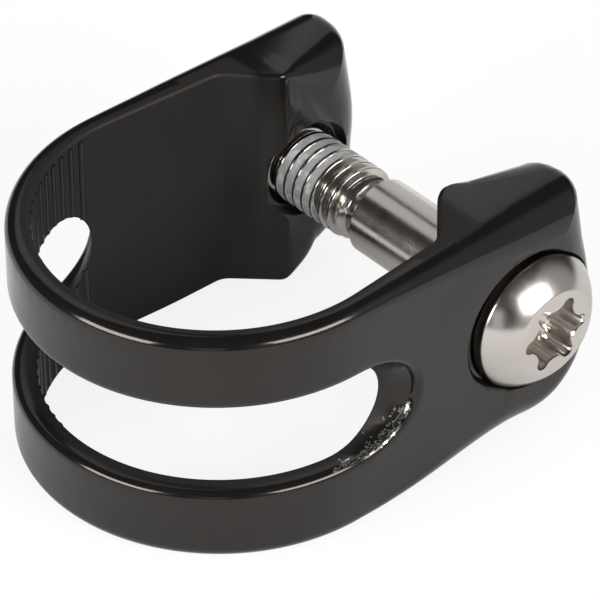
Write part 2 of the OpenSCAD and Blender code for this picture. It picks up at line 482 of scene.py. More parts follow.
@dataclass(frozen=True)
class SurfaceEffects:
    """Shader groups that more than one finish uses."""

    grain: NodeTree
    flecks: NodeTree

    @classmethod
    def build(cls) -> SurfaceEffects:
        """Build both groups once."""
        return cls(grain=cls._grain(), flecks=cls._flecks())

    @staticmethod
    def _grain() -> NodeTree:
        """Fine uneven surface: a roughness that varies and a height for bump.

        Returns:
            The group.
        """
        build, given = NodeBuilder.group(
            "Surface grain", "ShaderNodeTree",
            {"Scale": 900.0, "Cloud Scale": 120.0, "Roughness Low": 0.2, "Roughness High": 0.3},
            {"Roughness": 0.0, "Height": 0.0, "Cloud": 0.0})
        place = build.add("ShaderNodeTexCoord").outputs["Object"]
        fine, cloud = (build.add("ShaderNodeTexNoise", {
            "Vector": place, "Scale": given[scale], "Detail": detail,
        }).outputs["Fac"] for scale, detail in (("Scale", 3.0), ("Cloud Scale", 2.0)))
        mixed = build.math("ADD", build.math("MULTIPLY", fine, FINE_SHARE),
                           build.math("MULTIPLY", cloud, 1.0 - FINE_SHARE))
        spread = build.add("ShaderNodeMapRange", {
            "Value": mixed, "From Min": NOISE_RANGE[0], "From Max": NOISE_RANGE[1],
            "To Min": given["Roughness Low"], "To Max": given["Roughness High"]})
        build.add("NodeGroupOutput", {"Roughness": spread.outputs["Result"], "Height": fine, "Cloud": cloud})
        return build.tree

    @staticmethod
    def _flecks() -> NodeTree:
        """Ragged specks that fill a stated share of the surface.

        Returns:
            The group.
        """
        build, given = NodeBuilder.group(
            "Ragged flecks", "ShaderNodeTree", {"Scale": 2500.0, "Share": 0.5, "Edge": 0.05}, {"Mask": 0.0})
        place = build.add("ShaderNodeTexCoord").outputs["Object"]
        noise = build.add("ShaderNodeTexNoise", {
            "Vector": place, "Scale": given["Scale"], "Detail": 4.0, "Roughness": 0.65})
        level = build.math("SUBTRACT", FLECK_LEVEL, build.math("MULTIPLY", given["Share"], FLECK_SPAN))
        spread = build.add("ShaderNodeMapRange", {
            "Value": noise.outputs["Fac"], "From Min": level,
            "From Max": build.math("ADD", level, given["Edge"])})
        build.add("NodeGroupOutput", {"Mask": spread.outputs["Result"]})
        return build.tree


@dataclass(frozen=True)
class Finish:
    """What every finish has: its name and its surface grain."""

    name: str
    grain_scale: float
    cloud_scale: float
    rough_low: float
    rough_high: float
    bump: float

    def material(self, effects: SurfaceEffects) -> Material:
        """Make the material.

        Args:
            effects: The shared shader groups.

        Returns:
            The material.
        """
        material = bpy.data.materials.new(self.name)
        material.use_nodes = True
        build = NodeBuilder(material.node_tree)
        grain = build.add("ShaderNodeGroup", {
            "Scale": self.grain_scale, "Cloud Scale": self.cloud_scale,
            "Roughness Low": self.rough_low, "Roughness High": self.rough_high,
        }, node_tree=effects.grain).outputs
        bump = build.add("ShaderNodeBump", {
            "Strength": 1.0, "Distance": self.bump, "Height": grain["Height"]})
        build.feed(material.node_tree.nodes["Principled BSDF"], {
            "Roughness": grain["Roughness"], "Normal": bump.outputs["Normal"],
            **self.looks(build, grain, effects)})
        return material

    def looks(self, build: NodeBuilder, grain: NodeOutputs, effects: SurfaceEffects) -> dict[str, object]:
        """Shader inputs that are the finish's own."""
        raise NotImplementedError


@dataclass(frozen=True)
class BlackFinish(Finish):
    """Smooth black coat over aluminium, worn through where the bare attribute says."""

    name: str = "black coat"
    grain_scale: float = 1500.0
    cloud_scale: float = 260.0
    rough_low: float = 0.11
    rough_high: float = 0.17
    bump: float = 0.000003
    coat_low: Color = (0.0050, 0.0045, 0.0040, 1.0)
    coat_high: Color = (0.0085, 0.0078, 0.0070, 1.0)
    bare_metal: Color = (0.62, 0.60, 0.57, 1.0)
    bare_scale: float = 2600.0
    bare_edge: float = 0.04
    bare_onset: float = 4.0
    sheen: Color = (1.0, 0.93, 0.88, 1.0)
    bore_rough: float = 0.6
    ior: float = 1.43

    def looks(self, build: NodeBuilder, grain: NodeOutputs, effects: SurfaceEffects) -> dict[str, object]:
        """Coat with worn flecks, duller in the bore.

        Args:
            build: Builder of the material's tree.
            grain: Outputs of the surface grain.
            effects: The shared shader groups.

        Returns:
            Shader inputs.
        """
        worn, bore = (build.add("ShaderNodeAttribute", attribute_name=name).outputs["Fac"]
                      for name in ("bare", "bore"))
        flecks = build.add("ShaderNodeGroup", {
            "Scale": self.bare_scale, "Edge": self.bare_edge, "Share": worn}, node_tree=effects.flecks)
        onset = build.math("MINIMUM", 1.0, build.math("MULTIPLY", worn, self.bare_onset))
        mask = build.math("MULTIPLY", flecks.outputs["Mask"], onset)
        coat = build.mix(grain["Cloud"], self.coat_low, self.coat_high)
        dull = build.math("MULTIPLY", bore, self.bore_rough)
        return {"Base Color": build.mix(mask, coat, self.bare_metal), "Metallic": mask, "IOR": self.ior,
                "Roughness": build.math("MAXIMUM", grain["Roughness"], dull), "Specular Tint": self.sheen}


@dataclass(frozen=True)
class SteelFinish(Finish):
    """Polished stainless steel with faint clouding."""

    name: str = "polished stainless"
    grain_scale: float = 1800.0
    cloud_scale: float = 220.0
    rough_low: float = 0.16
    rough_high: float = 0.26
    bump: float = 0.000002
    low: Color = (0.45, 0.417, 0.385, 1.0)
    high: Color = (0.58, 0.545, 0.507, 1.0)

    def looks(self, build: NodeBuilder, grain: NodeOutputs, effects: SurfaceEffects) -> dict[str, object]:
        """Clouded metal."""
        return {"Base Color": build.mix(grain["Cloud"], self.low, self.high), "Metallic": 1.0}


@dataclass(frozen=True)
class ThreadLockFinish(Finish):
    """Matt grey dried coating with paler ragged spots."""

    name: str = "thread lock"
    grain_scale: float = 2600.0
    cloud_scale: float = 900.0
    rough_low: float = 0.6
    rough_high: float = 0.85
    bump: float = 0.00002
    grey: Color = (0.27, 0.27, 0.27, 1.0)
    pale: Color = (0.52, 0.52, 0.52, 1.0)
    spot_scale: float = 1400.0
    spot_share: float = 0.5
    spot_edge: float = 0.2

    def looks(self, build: NodeBuilder, grain: NodeOutputs, effects: SurfaceEffects) -> dict[str, object]:
        """Grey with pale spots."""
        mask = build.add("ShaderNodeGroup", {
            "Scale": self.spot_scale, "Share": self.spot_share, "Edge": self.spot_edge,
        }, node_tree=effects.flecks).outputs["Mask"]
        return {"Base Color": build.mix(mask, self.grey, self.pale)}


@dataclass
class Outline:
    """Closed edge of the wall, as path and height, with the roundings on both sides."""

    path: Points
    inward: Points
    outer_r: Points
    inner_r: Points

    @classmethod
    def make(cls, path: Points, outer_r: Points, inner_r: Points, hole: bool) -> Outline:
        """Work out the normals that point into the material.

        Args:
            path: Closed N by 2 loop of path position and height.
            outer_r: Rounding at the outer face.
            inner_r: Rounding at the inner face.
            hole: Whether the loop is the edge of a hole.

        Returns:
            The outline.
        """
        along = np.roll(path, -1, axis=0) - np.roll(path, 1, axis=0)
        along /= np.linalg.norm(along, axis=1, keepdims=True)
        normal = table(-along[:, 1], along[:, 0])
        area = np.sum(path[:, 0] * np.roll(path[:, 1], -1) - np.roll(path[:, 0], -1) * path[:, 1])
        return cls(path, -normal if (area < 0) != hole else normal, outer_r, inner_r)


@dataclass
class ClampBand:
    """The one-piece band: back, two arms, two ears, window slot and bolt seat.

    A path position counts from the middle of the back: along the bore up to the
    quarter turn, then along X out to the ear's end. It is negative on the near
    side. A pair named with x, z or rim holds the two ends of a smooth change.
    """

    bar_r: float = 11.1
    band_r: float = 12.6
    half_w: float = 8.1
    arm_in_deg: float = 4.5
    arm_out_deg: float = 0.9
    pad_x: dict[Side, float] = per_side(11.2, 11.7)
    pad_y: dict[Side, float] = per_side(6.8, 7.5)
    ramp_deg: float = 47.0
    ramp_run: float = 4.2
    ramp_foot_r: float = 1.3
    ramp_head_r: dict[Side, float] = per_side(3.0, 1.3)
    ear_start_x: float = 13.0
    ear_out_y: float = 12.9
    ear_end_x: float = 19.1
    ear_bulge: float = 0.95
    ear_bulge_z: float = 2.0
    ear_bulge_r: float = 12.0
    ear_top_r: float = 1.35
    ear_foot_r: float = 5.2
    past_end: float = 3.0
    past_all: float = 40.0
    straight_x: float = 2.0
    bend_step: float = 0.15
    corner_step: float = 0.25
    foot_taper: float = 0.35
    foot_taper_x: Pair = (4.0, 13.0)
    back_edge_r: float = 0.8
    arm_edge_r: float = 1.05
    top_edge_r: dict[Side, float] = per_side(2.6, 1.9)
    foot_edge_r: float = 2.1
    foot_edge_x: Pair = (1.0, 12.0)
    end_edge_r: float = 1.5
    end_edge_x: Pair = (12.0, 16.5)
    end_edge_z: Pair = (-4.0, 1.0)
    bore_edge_r: float = 0.3
    pad_end_r: dict[Side, float] = per_side(3.2, 3.1)
    growth: float = 1.2
    arm_grown_x: float = 4.0
    grown_x: float = 15.0
    mitre: float = 0.985
    slot_h: float = 6.3
    slot_edge_r: float = 0.55
    slot_bore_r: float = 0.14
    slot_x: dict[Side, float] = per_side(2.7, -0.75)
    slot_deg: dict[Side, float] = per_side(47.0, 63.0)
    slot_blend: float = 6.0
    slot_gap: float = 0.2
    slot_reach: Pair = (-7.0, 9.0)
    slot_samples: int = 3201
    bolt_x: float = 13.8
    hole_r: float = 2.58
    recess_r: float = 4.65
    recess_d: float = 1.75
    recess_mouth_r: float = 0.2
    dish_r: float = 5.3
    dish_depth: float = 0.9
    dish_shift: Pair = (0.75, 0.4)
    tapped_r: float = 2.5
    spot_r: float = 3.25
    spot_d: float = 0.8
    hole_edge: float = 0.15
    tapped_edge: float = 0.35
    pad_edge: float = 0.25
    cut_past: Pair = (2.0, 1.0)
    bare_share: float = 0.7
    bare_depth: float = 0.3
    bare_clear: float = 0.12
    bore_clear: float = 0.4
    bare_rim: Pair = (0.1, 0.4)
    bare_start_x: Pair = (-2.6, -1.0)
    bare_end_x: Pair = (3.7, 4.4)
    bare_top_z: Pair = (-1.5, -0.7)
    bore_end_x: Pair = (10.0, 11.2)
    back_stations: int = 46
    arm_step: float = 0.45
    ramp_step: float = 0.14
    seam: float = 0.1
    slot_end_points: int = 33
    fillet_steps: int = 8
    fill_columns: int = 35
    fill_rows: int = 6
    fill_pitch: float = 1.15
    fill_gap: float = 0.45
    sharp_deg: float = 38.0

    @property
    def ramp_start(self) -> float:
        """X just before the first shoulder starts."""
        return self.pad_x[Side.NEAR] - self.ramp_run

    @property
    def quarter(self) -> float:
        """Path position where the back ends and the arm starts."""
        return self.bar_r * QUARTER

    def inner_line(self, side: Side = Side.FAR) -> Points:
        """Inner wall of an arm as X and distance from the mid-plane.

        Args:
            side: The arm; both are alike up to the shoulder.

        Returns:
            The wall's points, from the quarter turn to past the ear's end.
        """
        a, r = math.radians(self.arm_in_deg), math.radians(self.ramp_deg)
        start = np.radians(np.linspace(90.0, 90.0 - self.arm_in_deg, 5))
        arc = table(self.bar_r * np.cos(start), self.bar_r * np.sin(start))
        pad_x, pad_y = self.pad_x[side], self.pad_y[side]
        foot_x = (pad_y + pad_x * math.tan(r) - self.bar_r / math.cos(a)) / (math.tan(r) - math.tan(a))
        foot_y = (self.bar_r - foot_x * math.sin(a)) / math.cos(a)
        rest = rounded_path(
            [tuple(arc[-1]), (foot_x, foot_y), (pad_x, pad_y), (self.ear_end_x + self.past_end, pad_y)],
            [self.ramp_foot_r, self.ramp_head_r[side]], self.bend_step)
        return np.vstack([arc[:-1], rest])

    def inner_wall(self, x: Points, side: Side) -> tuple[Points, Points]:
        """Distance of an arm's inner wall from the mid-plane, and its slope.

        Args:
            x: Places along the arm.
            side: The arm.

        Returns:
            Distances and slopes.
        """
        line = self.inner_line(side).T
        span = 0.05
        before = np.maximum(x - span, 0.0)
        rise = np.interp(x + span, *line) - np.interp(before, *line)
        return np.interp(x, *line), rise / (x + span - before)

    def face(self, t: Points, z: Points | float = 0.0, depth: Points | float = 0.0,
             outer: bool = False) -> Points:
        """Place points of a face, sunk into the material by a depth.

        Args:
            t: Path positions, negative on the near side.
            z: Heights.
            depth: Depth below the face.
            outer: True for the outer face, False for the inner one.

        Returns:
            Points as an N by 3 array.
        """
        sign = np.where(t < 0.0, -1.0, 1.0)
        reach = np.abs(t)
        if outer:
            tilt = math.radians(self.arm_out_deg)
            start = self.quarter - self.bar_r * tilt
            back = reach <= start
            x = np.interp(reach, [start, self.quarter + self.straight_x, self.quarter + self.past_all],
                          [-self.band_r * math.sin(tilt), self.straight_x, self.past_all])
            y = (self.band_r + x * math.sin(tilt)) / math.cos(tilt)
            slope = math.tan(tilt)
            radius, way = self.band_r, -1.0
        else:
            back = reach <= self.quarter
            x = np.maximum(reach - self.quarter, 0.0)
            far, near = self.inner_wall(x, Side.FAR), self.inner_wall(x, Side.NEAR)
            y, slope = (np.where(t < 0.0, b, a) for a, b in zip(far, near))
            radius, way = self.bar_r, 1.0
        phi = np.minimum(reach, self.quarter) / self.bar_r
        size = np.sqrt(1.0 + slope * slope)
        px = np.where(back, -(radius + way * depth) * np.cos(phi), x - way * depth * slope / size)
        py = np.where(back, (radius + way * depth) * np.sin(phi), y + way * depth / size)
        return table(px, sign * py, z)

    def stations(self) -> Points:
        """Path positions of the sections that the top and bottom edges share.

        Returns:
            Positions from the near ear, round the back, to the far ear.
        """
        back = np.linspace(0.0, self.quarter, self.back_stations)
        arm = self.quarter + np.arange(self.arm_step, self.ramp_start, self.arm_step)
        ramp = self.quarter + np.arange(self.ramp_start, self.ear_start_x - self.seam, self.ramp_step)
        half = np.concatenate([back, arm, ramp])
        return np.concatenate([-half[:0:-1], half])

    def end_line(self) -> tuple[Points, Points]:
        """Heights and X of the ear's end before its corners are rounded.

        Returns:
            Heights from the top down, and their X.
        """
        heights = np.array([self.half_w, self.ear_bulge_z, -self.half_w + self.foot_taper])
        side_x = self.ear_end_x - self.ear_bulge
        return heights, np.array([side_x, self.ear_end_x, side_x])

    def ear_end(self) -> Points:
        """End of an ear seen along the bolt, from its top edge to its bottom edge.

        Returns:
            Points of X and height.
        """
        heights, ends = self.end_line()
        top, bulge, foot = zip(ends, heights)
        corners = [(self.ear_start_x, self.half_w), top, bulge, foot, (self.ear_start_x, foot[1])]
        return rounded_path(corners, [self.ear_top_r, self.ear_bulge_r, self.ear_foot_r], self.corner_step)

    def keep_mitred(self, spot: Points, reach: Points) -> Points:
        """Stop a loop that is set in further than a corner's radius from crossing itself.

        Args:
            spot: Loop of path positions and heights.
            reach: How far each point was set in.

        Returns:
            The loop, with its points held at the mitre of the top edge and the ear's end.
        """
        heights, ends = self.end_line()
        z = np.minimum(spot[:, 1], self.half_w - reach)
        limit = np.interp(z, heights[::-1], ends[::-1]) - self.mitre * reach
        return table(np.sign(spot[:, 0]) * np.minimum(np.abs(spot[:, 0]), self.quarter + limit), z)

    def grown(self, x: Points, start: Points | float, end: float) -> Points:
        """Share of a rounding's growth between two places along an arm."""
        return np.clip((x - start) / (end - start), 0.0, 1.0) ** self.growth

    def edge_outline(self) -> Outline:
        """Outer edge of the whole wall, round both ears.

        Returns:
            The outline.
        """
        row = self.stations()
        far_end = self.ear_end() + np.array([self.quarter, 0.0])
        near_end = far_end[::-1] * np.array([-1.0, 1.0])
        foot_z = -self.half_w + self.foot_taper * smooth_step(np.abs(row) - self.quarter, *self.foot_taper_x)
        path = np.vstack([table(row, self.half_w), far_end, table(row, foot_z)[::-1], near_end])
        x = np.abs(path[:, 0]) - self.quarter
        near = path[:, 0] < 0.0
        along_arm = self.grown(x, 0.0, self.arm_grown_x)
        along_ear = self.grown(x, self.arm_grown_x, self.grown_x)
        top = self.back_edge_r + (self.arm_edge_r - self.back_edge_r) * along_arm
        top = top + (by_side(near, self.top_edge_r) - self.arm_edge_r) * along_ear
        foot = self.back_edge_r + (self.foot_edge_r - self.back_edge_r) * smooth_step(x, *self.foot_edge_x)
        end = smooth_step(-path[:, 1], *self.end_edge_z) * smooth_step(x, *self.end_edge_x)
        outer_r = np.where(path[:, 1] > 0.0, top, foot)
        outer_r = outer_r + (self.end_edge_r - outer_r) * end
        along_pad = self.grown(x, by_side(near, self.pad_x), self.grown_x)
        inner_r = self.bore_edge_r + (by_side(near, self.pad_end_r) - self.bore_edge_r) * along_pad
        return Outline.make(path, outer_r, inner_r, hole=False)

    def slot_end(self, side: Side, theta: Points, outer: bool) -> Points:
        """Path position of a slot's round end, where its slanted cut meets a face.

        Args:
            side: Which end.
            theta: Angle round the cut, from 90 degrees at the top edge to -90.
            outer: True for the outer face, False for the inner one.

        Returns:
            Path positions, one for each angle.
        """
        slant = math.radians(self.slot_deg[side])
        t = np.linspace(*(self.quarter + end for end in self.slot_reach), self.slot_samples)
        face = self.face(t, outer=outer)
        start_x = self.slot_x[side]
        start_y = float(np.interp(max(0.0, start_x), *self.inner_line().T))
        across = (face[:, 0] - start_x) * math.sin(slant) - (face[:, 1] - start_y) * math.cos(slant)
        wanted = self.slot_h / 2.0 * (np.cos(theta) - 1.0)
        order = np.argsort(across)
        return side.value * np.interp(wanted, across[order], t[order])

    def slot_outline(self, outer: bool) -> Outline:
        """Edge of the window slot on one face.

        Args:
            outer: True for the outer face, False for the inner one.

        Returns:
            The outline; both faces' outlines have matching points.
        """
        half = self.slot_h / 2.0
        theta = np.linspace(QUARTER, -QUARTER, self.slot_end_points)
        low, high = (self.slot_end(side, theta[:1], False)[0] for side in Side)
        near, far = (self.slot_end(side, theta, outer) for side in Side)
        row = self.stations()
        row = row[(row > low + self.slot_gap) & (row < high - self.slot_gap)]
        row = np.concatenate([[low], row, [high]])
        shift_far = (far[0] - high) * smooth_step(row, high - self.slot_blend, high)
        shift_near = (near[0] - low) * (1.0 - smooth_step(row, low, low + self.slot_blend))
        row = row + shift_far + shift_near
        path = np.vstack([
            table(row, half),
            table(far[1:-1], half * np.sin(theta[1:-1])),
            table(row[::-1], -half),
            table(near[-2:0:-1], half * np.sin(theta[-2:0:-1])),
        ])
        sizes = (np.full(len(path), radius) for radius in (self.slot_edge_r, self.slot_bore_r))
        return Outline.make(path, *sizes, hole=True)

    def wall(self, draft: MeshDraft, outline: Outline, inner: Outline) -> tuple[list[Points], list[Points]]:
        """Add the wall under an outline, with its rounding at each face.

        Args:
            draft: Draft to add to.
            outline: Outline on the outer face.
            inner: Outline on the inner face.

        Returns:
            Vertex numbers of the loops on the outer and the inner face, then both loops' places.
        """
        turns = np.linspace(0.0, QUARTER, self.fillet_steps + 1)
        rows = []
        places = []
        for shape, radius, outer in ((outline, outline.outer_r, True), (inner, inner.inner_r, False)):
            side_rows = []
            for turn in turns:
                reach = radius * (1.0 - math.sin(turn))
                spot = self.keep_mitred(shape.path + shape.inward * reach[:, None], reach)
                if turn == 0.0:
                    places.append(spot)
                depth = radius * (1.0 - math.cos(turn))
                side_rows.append(draft.add(self.face(spot[:, 0], spot[:, 1], depth, outer)))
            rows.append(side_rows)
        draft.strips(rows[0] + rows[1][::-1])
        return [side_rows[0] for side_rows in rows], places

    def fill_points(self, edge: Points, hole: Points) -> Points:
        """Spread points over the curved part of a face, clear of its edges.

        Args:
            edge: Outer loop of the face.
            hole: Slot's loop on the face.

        Returns:
            Path positions and heights.
        """
        t = np.linspace(-self.quarter, self.quarter, self.fill_columns)
        z = np.arange(-self.fill_rows, self.fill_rows + 1) * self.fill_pitch
        grid = np.stack(np.meshgrid(t, z), axis=-1).reshape(-1, 2)
        grid = grid[~inside(hole, grid) & inside(edge, grid)]
        for loop in (edge, hole):
            gap = np.min(np.linalg.norm(grid[:, None, :] - loop[None, :, :], axis=2), axis=1)
            grid = grid[gap > self.fill_gap]
        return grid

    def columns(self, loop: Points, outer: bool) -> list[tuple[int, int]]:
        """Edges from the loop's top edge to its bottom edge, where the face bends.

        Args:
            loop: Outer loop of the face.
            outer: True for the outer face, which is flat there.

        Returns:
            Pairs of point numbers.
        """
        count = len(self.stations())
        bottom = len(loop) - (len(loop) - 2 * count) // 2 - 1
        bend = self.quarter + self.ramp_start - self.seam
        bends = [k for k in range(count) if abs(loop[k, 0]) > bend]
        return [] if outer else [(k, bottom - k) for k in bends]

    def cover(self, draft: MeshDraft, outer: bool, loops: Sequence[Points], places: Sequence[Points]) -> None:
        """Close a face between its outer loop and the slot's loop.

        Args:
            draft: Draft to add to.
            outer: True for the outer face, False for the inner one.
            loops: Vertex numbers of the outer loop and the slot's loop.
            places: Path positions and heights of the same points.
        """
        extra = self.fill_points(*places)
        extra_numbers = draft.add(self.face(*extra.T, outer=outer))
        spots = np.vstack([*places, extra])
        numbers = np.concatenate([*loops, extra_numbers])
        edges = []
        first = 0
        for place in places:
            edges += [(first + k, first + (k + 1) % len(place)) for k in range(len(place))]
            first += len(place)
        edges += self.columns(places[0], outer)
        made = delaunay_2d_cdt([Vector(p) for p in spots], edges, [], 0, 1e-6)
        out_spots = np.array([tuple(v) for v in made[0]])
        source = [numbers[ids[0]] if ids else -1 for ids in made[3]]
        for k, number in enumerate(source):
            if number < 0:
                spot = out_spots[k]
                source[k] = int(draft.add(self.face(spot[:1], spot[1:], outer=outer))[0])
        triangles = np.array(made[2])
        middle = out_spots[triangles].mean(axis=1)
        kept = triangles[inside(places[0], middle) & ~inside(places[1], middle)]
        draft.faces += [tuple(int(source[i]) for i in triangle) for triangle in kept]

    def bolt_cutters(self) -> list[Mesh]:
        """Shapes of the recess with its hole and dished side, and of the spot-face with its tapped hole.

        Returns:
            Closed meshes.
        """
        out = self.ear_out_y
        clear_y = -out - self.cut_past[0]
        turn = np.linspace(QUARTER, 0.0, 6)
        mouth = table(self.recess_r + self.recess_mouth_r * (1.0 - np.sin(turn)),
                      -out + self.recess_mouth_r * (1.0 - np.cos(turn)))[::-1]
        floor_y = -out + self.recess_d
        near = np.vstack([
            [(0.0, clear_y), (self.recess_r + self.recess_mouth_r, clear_y)],
            mouth,
            [(self.recess_r, floor_y), (self.hole_r + self.hole_edge, floor_y)],
            [(self.hole_r, floor_y + self.hole_edge), (self.hole_r, 0.0), (0.0, 0.0)],
        ])
        pad_y = self.pad_y[Side.FAR]
        spot_y = pad_y + self.spot_d
        mouth_r = self.spot_r + self.pad_edge
        end_y = out + self.cut_past[1]
        far = np.array([
            (0.0, 0.0), (mouth_r, 0.0), (mouth_r, pad_y), (self.spot_r, pad_y + self.hole_edge),
            (self.spot_r, spot_y), (self.tapped_r + self.tapped_edge, spot_y),
            (self.tapped_r, spot_y + self.tapped_edge), (self.tapped_r, end_y), (0.0, end_y)])
        bend = np.linspace(0.0, QUARTER, 7)
        sunk = -out + self.dish_depth * (1.0 - np.cos(bend))
        dish = np.vstack([
            [(0.0, clear_y), (self.dish_r, clear_y)],
            table(self.dish_r - self.dish_depth * np.sin(bend), sunk),
            [(0.0, -out + self.dish_depth)],
        ])
        centre = (self.bolt_x, 0.0)
        aside = (self.bolt_x - self.dish_shift[0], self.dish_shift[1])
        shapes = (("near bore", near, centre), ("near dish", dish, aside), ("far bore", far, centre))
        return [lathe(name, shape, place) for name, shape, place in shapes]

    def mark_bare(self, mesh: Mesh) -> None:
        """Mark the bore's duller wall, and where the coat is worn through at the slot's near end.

        Args:
            mesh: The band's mesh.
        """
        places = np.empty(len(mesh.vertices) * 3)
        mesh.vertices.foreach_get("co", places)
        x, y, z = (places.reshape(-1, 3) / MM).T
        radius = np.where(x < 0.0, np.hypot(x, y), np.abs(y))
        rim = np.abs(radius - self.band_r + self.bare_depth)
        streak = (1.0 - smooth_step(rim, *self.bare_rim)) * smooth_step(x, *self.bare_start_x)
        streak = streak * (1.0 - smooth_step(x, *self.bare_end_x)) * (1.0 - smooth_step(z, *self.bare_top_z))
        in_slot = (np.abs(z) < self.slot_h / 2.0 + self.bare_clear) & (y < 0.0)
        in_bore = radius < self.bar_r + self.bore_clear
        write_attributes(mesh, {
            "bare": np.where(in_slot, self.bare_share * streak, 0.0),
            "bore": np.where(in_bore, 1.0 - smooth_step(x, *self.bore_end_x), 0.0),
        })

    def build(self, material: Material) -> Object:
        """Build the band.

        Args:
            material: Its finish.

        Returns:
            The band's object.
        """
        draft = MeshDraft()
        edge = self.edge_outline()
        walls = (self.wall(draft, edge, edge),
                 self.wall(draft, self.slot_outline(True), self.slot_outline(False)))
        for face, outer in enumerate((True, False)):
            loops, places = ([wall[kind][face] for wall in walls] for kind in (0, 1))
            self.cover(draft, outer, loops, places)
        band = new_object(draft.to_mesh("band"))
        cut(band, self.bolt_cutters())
        self.mark_bare(band.data)
        dress(band, material, self.sharp_deg, flat_kept=True)
        return band


@dataclass
class GripRibs:
    """Low ribs across the bore's wall on the far side, made by Geometry Nodes."""

    bar_r: float = 11.1
    half_w: float = 8.1
    from_deg: float = 97.5
    to_deg: float = 172.0
    pitch: float = 0.94
    height: float = 0.11
    width: float = 0.5
    sink: float = 0.02
    edge_gap: float = 0.1
    slot_gap: float = 0.15
    facets: int = 12
    sharp_deg: float = 50.0

    def rows(self, band: ClampBand) -> Points:
        """Angle and ends of every rib, above and below the slot.

        Args:
            band: The band that carries the ribs.

        Returns:
            Angle, lowest and highest height of each rib.
        """
        tip = band.slot_outline(False).path[:, 0].max()
        half = self.half_w - band.bore_edge_r - self.edge_gap
        theta = np.linspace(QUARTER, 0.0, 60)
        curve = band.slot_end(Side.FAR, theta, False)
        out = []
        for deg in np.arange(self.from_deg, self.to_deg, math.degrees(self.pitch / self.bar_r)):
            t = math.radians(180.0 - deg) * self.bar_r
            edge = band.slot_h / 2.0
            if t > curve[0]:
                edge = band.slot_h / 2.0 * math.sin(float(np.interp(t, curve, theta)))
            if t > tip:
                out.append((deg, -half, half))
            else:
                out += [(deg, edge + self.slot_gap, half), (deg, -half, -edge - self.slot_gap)]
        return np.array(out)

    def tree(self, material: Material, values: dict[str, object]) -> NodeTree:
        """Geometry Nodes that stand a rounded rib on every point.

        Args:
            material: Finish that the ribs take.
            values: Default of each named input.

        Returns:
            The tree.
        """
        build, given = NodeBuilder.group(
            "Grip ribs", "GeometryNodeTree", {"Geometry": None, **values}, {"Geometry": None})
        bar = build.add("GeometryNodeMeshCylinder", {
            "Vertices": self.facets, "Radius": 1.0, "Depth": 1.0}, fill_type="NGON")
        turn, length = (build.add(
            "GeometryNodeInputNamedAttribute", {"Name": name}, data_type="FLOAT",
        ).outputs["Attribute"] for name in ("rib_turn", "rib_length"))
        half = build.math("MULTIPLY", given["Rib Width"], 0.5)
        put = build.add("GeometryNodeInstanceOnPoints", {
            "Points": given["Geometry"], "Instance": bar.outputs["Mesh"],
            "Rotation": build.vector(0.0, 0.0, turn),
            "Scale": build.vector(given["Rib Height"], half, length)})
        return build.deliver(put.outputs["Instances"], material)

    def build(self, band: ClampBand, material: Material) -> Object:
        """Build the ribs.

        Args:
            band: The band that carries the ribs.
            material: Their finish.

        Returns:
            The ribs' object.
        """
        deg, low, high = self.rows(band).T
        a = np.radians(deg)
        radius = self.bar_r + self.sink
        middles = table(radius * np.cos(a), radius * np.sin(a), (low + high) / 2.0) * MM
        mesh = bpy.data.meshes.new("grip_ribs")
        mesh.from_pydata(middles.tolist(), [], [])
        write_attributes(mesh, {"rib_turn": a, "rib_length": (high - low) * MM})
        ribs = new_object(mesh)
        values = {"Rib Width": self.width * MM, "Rib Height": self.height * MM}
        apply_tree(ribs, self.tree(material, values), values)
        dress(ribs, material, self.sharp_deg)
        return ribs


